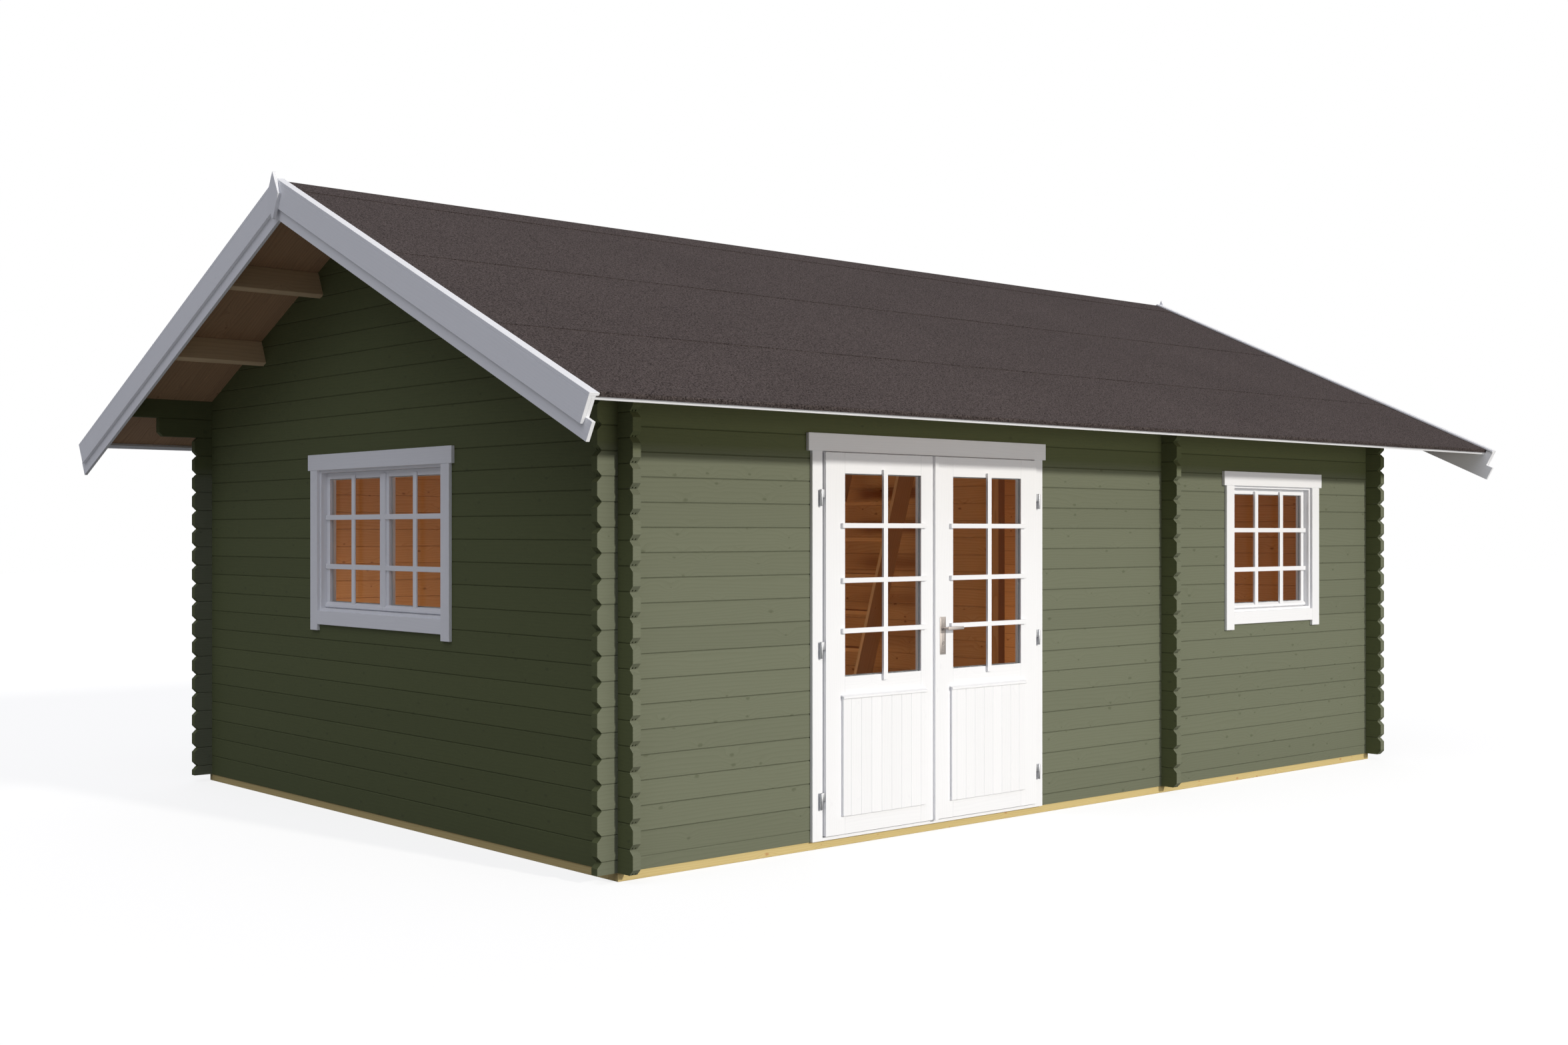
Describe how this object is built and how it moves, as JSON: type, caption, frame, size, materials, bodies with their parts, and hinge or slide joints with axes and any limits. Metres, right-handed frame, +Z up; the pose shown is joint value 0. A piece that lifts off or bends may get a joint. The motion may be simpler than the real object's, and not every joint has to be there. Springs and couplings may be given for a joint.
{
  "type": "log cabin",
  "caption": "Gabled log cabin with notched log corners, a glazed double door, casement-style windows, bargeboards, a log partition and a steep inner stair.",
  "frame": {"origin": "bottom centre of the bounding box, on the ground under the ridge", "axes": "+X along the ridge, -Y out of the door side, +Z up"},
  "size_m": [7.602, 5.5532, 3.4192],
  "materials": {
    "impregnated": "bare impregnated timber",
    "inner_wood": "clear stain",
    "log_green": "matt grey-green stain",
    "trim_white": "white paint",
    "fitting_steel": "brushed",
    "pane": "clear",
    "soffit_wood": "dark stain",
    "felt": "mineral felt"
  },
  "bodies": {
    "cabin": {"foundation_beams": "impregnated", "floor_boards": "inner_wood", "front_wall_left": "log_green", "front_wall_middle": "log_green", "front_wall_right": "log_green", "front_wall_under_window": "log_green", "front_wall_over_window": "log_green", "front_wall_over_door": "log_green", "back_wall": "log_green", "eave_logs": "log_green", "left_gable_lower": "log_green", "left_gable_sides": "log_green", "left_gable_upper": "log_green", "right_gable": "log_green", "partition_front": "log_green", "partition_back": "log_green", "partition_top": "log_green", "partition_door_frame": "inner_wood", "stair_stringers": "inner_wood", "stair_treads": "inner_wood", "door_frame": "trim_white", "door_casing": "trim_white", "hinge_pins": "fitting_steel", "gable_window_casing": "trim_white", "gable_window_frame": "trim_white", "gable_window_sashes": "trim_white", "gable_window_glass": "pane", "front_window_casing": "trim_white", "front_window_frame": "trim_white", "front_window_sash": "trim_white", "front_window_glass": "pane", "roof_boards_front": "soffit_wood", "roof_boards_back": "soffit_wood", "roof_felt": "felt", "purlins": "inner_wood", "eave_strips": "trim_white", "barge_boards": "trim_white", "barge_backs": "trim_white", "barge_caps": "trim_white", "finials": "trim_white"},
    "left_door": {"left_leaf": "trim_white", "left_leaf_glass": "pane", "left_leaf_hinges": "fitting_steel"},
    "right_door": {"right_leaf": "trim_white", "right_leaf_glass": "pane", "right_leaf_hinges": "fitting_steel", "lock_plates": "fitting_steel"},
    "lever": {"lever_handle": "fitting_steel"}
  },
  "joints": [
    {"name": "left_door_hinge", "type": "hinge", "parent": "cabin", "child": "left_door", "pos_m": [-1.984, -2.194, 0], "axis": [0, 0, -1], "range_deg": [0, 110]},
    {"name": "right_door_hinge", "type": "hinge", "parent": "cabin", "child": "right_door", "pos_m": [-0.344, -2.194, 0], "axis": [0, 0, 1], "range_deg": [0, 110]},
    {"name": "lever_turn", "type": "hinge", "parent": "right_door", "child": "lever", "pos_m": [-1.1235, -2.2, 1.059], "axis": [0, 1, 0], "range_deg": [0, 40], "stiffness_Nm_per_rad": 0.8, "springref_deg": -40.11}
  ]
}
